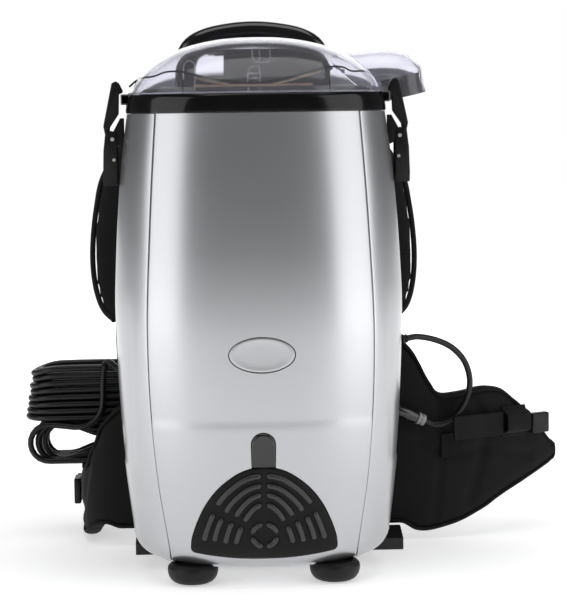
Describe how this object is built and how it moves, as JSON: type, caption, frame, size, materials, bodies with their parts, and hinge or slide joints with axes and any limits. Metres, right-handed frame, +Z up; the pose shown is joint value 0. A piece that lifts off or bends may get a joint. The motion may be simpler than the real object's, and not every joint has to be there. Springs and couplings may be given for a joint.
{
  "type": "backpack vacuum cleaner",
  "caption": "Upright backpack vacuum cleaner: silver casing with clear lid and hose inlet, side latches, black exhaust grille, padded harness and a hanked mains lead.",
  "frame": {"origin": "on the floor, on the casing's centre plane, in the underside of the harness frame's foot", "axes": "+Z up; -Y towards the exhaust grille on the front; +X towards the side with the hose inlet"},
  "size_m": [0.5794, 0.35, 0.5555],
  "materials": {
    "silver_paint": "metallic silver paint on moulded plastic, satin gloss",
    "black_casing": "fine textured black moulding",
    "black_gloss": "polished black plastic",
    "clear_lid": "clear, slightly smoky polycarbonate",
    "black_rubber": "matte black rubber",
    "grille_black": "satin black moulding",
    "latch_black": "satin black nylon",
    "pin_steel": "plain steel pin",
    "bag_paper": "filter paper, creased",
    "card": "brown card",
    "filter_foam": "open-cell foam",
    "filter_paper": "pleated filter paper",
    "motor_metal": "pressed metal",
    "board_green": "circuit board",
    "harness_plastic": "textured black moulding",
    "padding": "woven black nylon over foam",
    "webbing": "flat woven webbing",
    "buckle_plastic": "satin acetal",
    "cord_black": "shiny round flexible lead",
    "collar_grey": "grey collar"
  },
  "bodies": {
    "casing": {"front_panel": "silver_paint", "body_shell": "silver_paint", "oval_badge": "silver_paint", "rear_shell": "black_casing", "filter_tray": "black_casing", "switch_bezel": "black_casing", "rim_ring": "black_gloss", "carry_handle": "black_gloss", "cord_connector": "black_gloss", "mains_plug": "black_gloss", "foot_left": "black_rubber", "foot_right": "black_rubber", "motor_seal": "black_rubber", "motor_mount": "black_rubber", "cord_gland": "black_rubber", "latch_bracket_left": "latch_black", "latch_bracket_right": "latch_black", "latch_pin_left": "pin_steel", "latch_pin_right": "pin_steel", "dust_bag": "bag_paper", "bag_collar": "card", "motor_filter": "filter_foam", "exhaust_filter": "filter_paper", "fan_housing": "motor_metal", "motor_case": "motor_metal", "control_board": "board_green", "back_frame": "harness_plastic", "back_pad": "padding", "lumbar_pad": "padding", "shoulder_strap_left": "padding", "shoulder_strap_right": "padding", "belt_wing_left": "padding", "belt_wing_right": "padding", "strap_webbing_left": "webbing", "strap_webbing_right": "webbing", "belt_keeper": "webbing", "belt_webbing_right": "webbing", "cable_tie": "webbing", "strap_adjuster_left": "buckle_plastic", "strap_adjuster_right": "buckle_plastic", "buckle_socket": "buckle_plastic", "buckle_plug": "buckle_plastic", "cord_tail": "cord_black", "lead_run": "cord_black", "lead_hank": "cord_black", "plug_run": "cord_black", "connector_collar": "collar_grey"},
    "lid": {"lid": "clear_lid", "inlet_sleeve": "black_rubber"},
    "lever_left": {"latch_lever_left": "latch_black", "hook_pin_left": "pin_steel"},
    "lever_right": {"latch_lever_right": "latch_black", "hook_pin_right": "pin_steel"},
    "hook_left": {"latch_hook_left": "latch_black"},
    "hook_right": {"latch_hook_right": "latch_black"},
    "grille": {"exhaust_grille": "grille_black"},
    "tab": {"grille_tab": "black_gloss"},
    "rotor": {"fan_impeller": "motor_metal", "motor_shaft": "pin_steel"},
    "rocker": {"switch_rocker": "black_gloss"}
  },
  "joints": [
    {"name": "lid_lift", "type": "slide", "parent": "casing", "child": "lid", "axis": [0, 0, 1], "range_m": [0, 0.12]},
    {"name": "latch_left", "type": "hinge", "parent": "casing", "child": "lever_left", "pos_m": [-0.1425, -0.11, 0.4353], "axis": [0, 1, 0], "range_deg": [0, 95]},
    {"name": "latch_right", "type": "hinge", "parent": "casing", "child": "lever_right", "pos_m": [0.1425, -0.11, 0.4353], "axis": [0, -1, 0], "range_deg": [0, 95]},
    {"name": "hook_link_left", "type": "hinge", "parent": "lever_left", "child": "hook_left", "pos_m": [-0.1412, -0.11, 0.415], "axis": [0, 1, 0], "range_deg": [-95.5, 0.5]},
    {"name": "hook_link_right", "type": "hinge", "parent": "lever_right", "child": "hook_right", "pos_m": [0.1412, -0.11, 0.415], "axis": [0, -1, 0], "range_deg": [-95.5, 0.5]},
    {"name": "grille_door", "type": "hinge", "parent": "casing", "child": "grille", "pos_m": [0, -0.2085, 0.0325], "axis": [1, 0, 0], "range_deg": [0, 80]},
    {"name": "tab_press", "type": "slide", "parent": "casing", "child": "tab", "axis": [0, 1, 0], "range_m": [0, 0.003], "stiffness_N_per_m": 300},
    {"name": "fan_spin", "type": "hinge", "parent": "casing", "child": "rotor", "pos_m": [0, -0.112, 0.19], "axis": [0, 0, 1], "continuous": true},
    {"name": "switch_rock", "type": "hinge", "parent": "casing", "child": "rocker", "pos_m": [0.1365, -0.075, 0.303], "axis": [0, 1, 0], "range_deg": [0, 14]}
  ],
  "couplings": [
    {"joint": "hook_link_left", "follows": "latch_left", "ratio": -1},
    {"joint": "hook_link_right", "follows": "latch_right", "ratio": -1}
  ]
}
